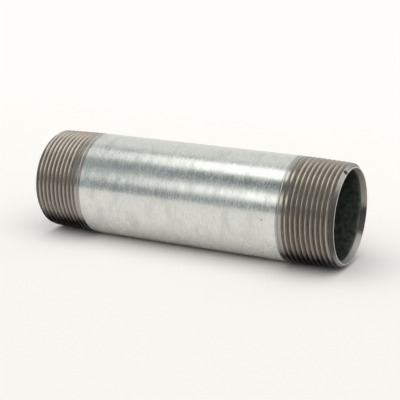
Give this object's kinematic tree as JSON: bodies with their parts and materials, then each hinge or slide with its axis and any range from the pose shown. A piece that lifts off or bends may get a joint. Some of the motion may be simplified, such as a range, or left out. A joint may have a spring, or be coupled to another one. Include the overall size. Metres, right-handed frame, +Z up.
{
  "type": "pipe nipple",
  "caption": "Straight galvanised steel pipe nipple: an open round tube with a male taper pipe thread on each end and a plain barrel between them.",
  "frame": {"origin": "middle of the pipe's axis, halfway between the two end faces", "axes": "+X along the pipe's axis, +Z up as the pipe lies on its side, +Y across it"},
  "size_m": [0.1524, 0.0484, 0.0484],
  "materials": {
    "cut_steel": "satin",
    "outer_zinc": "satin",
    "bore_zinc": "matte"
  },
  "bodies": {
    "root": {"steel_pipe": "cut_steel", "outer_zinc_coat": "outer_zinc", "bore_zinc_coat": "bore_zinc"}
  },
  "joints": []
}
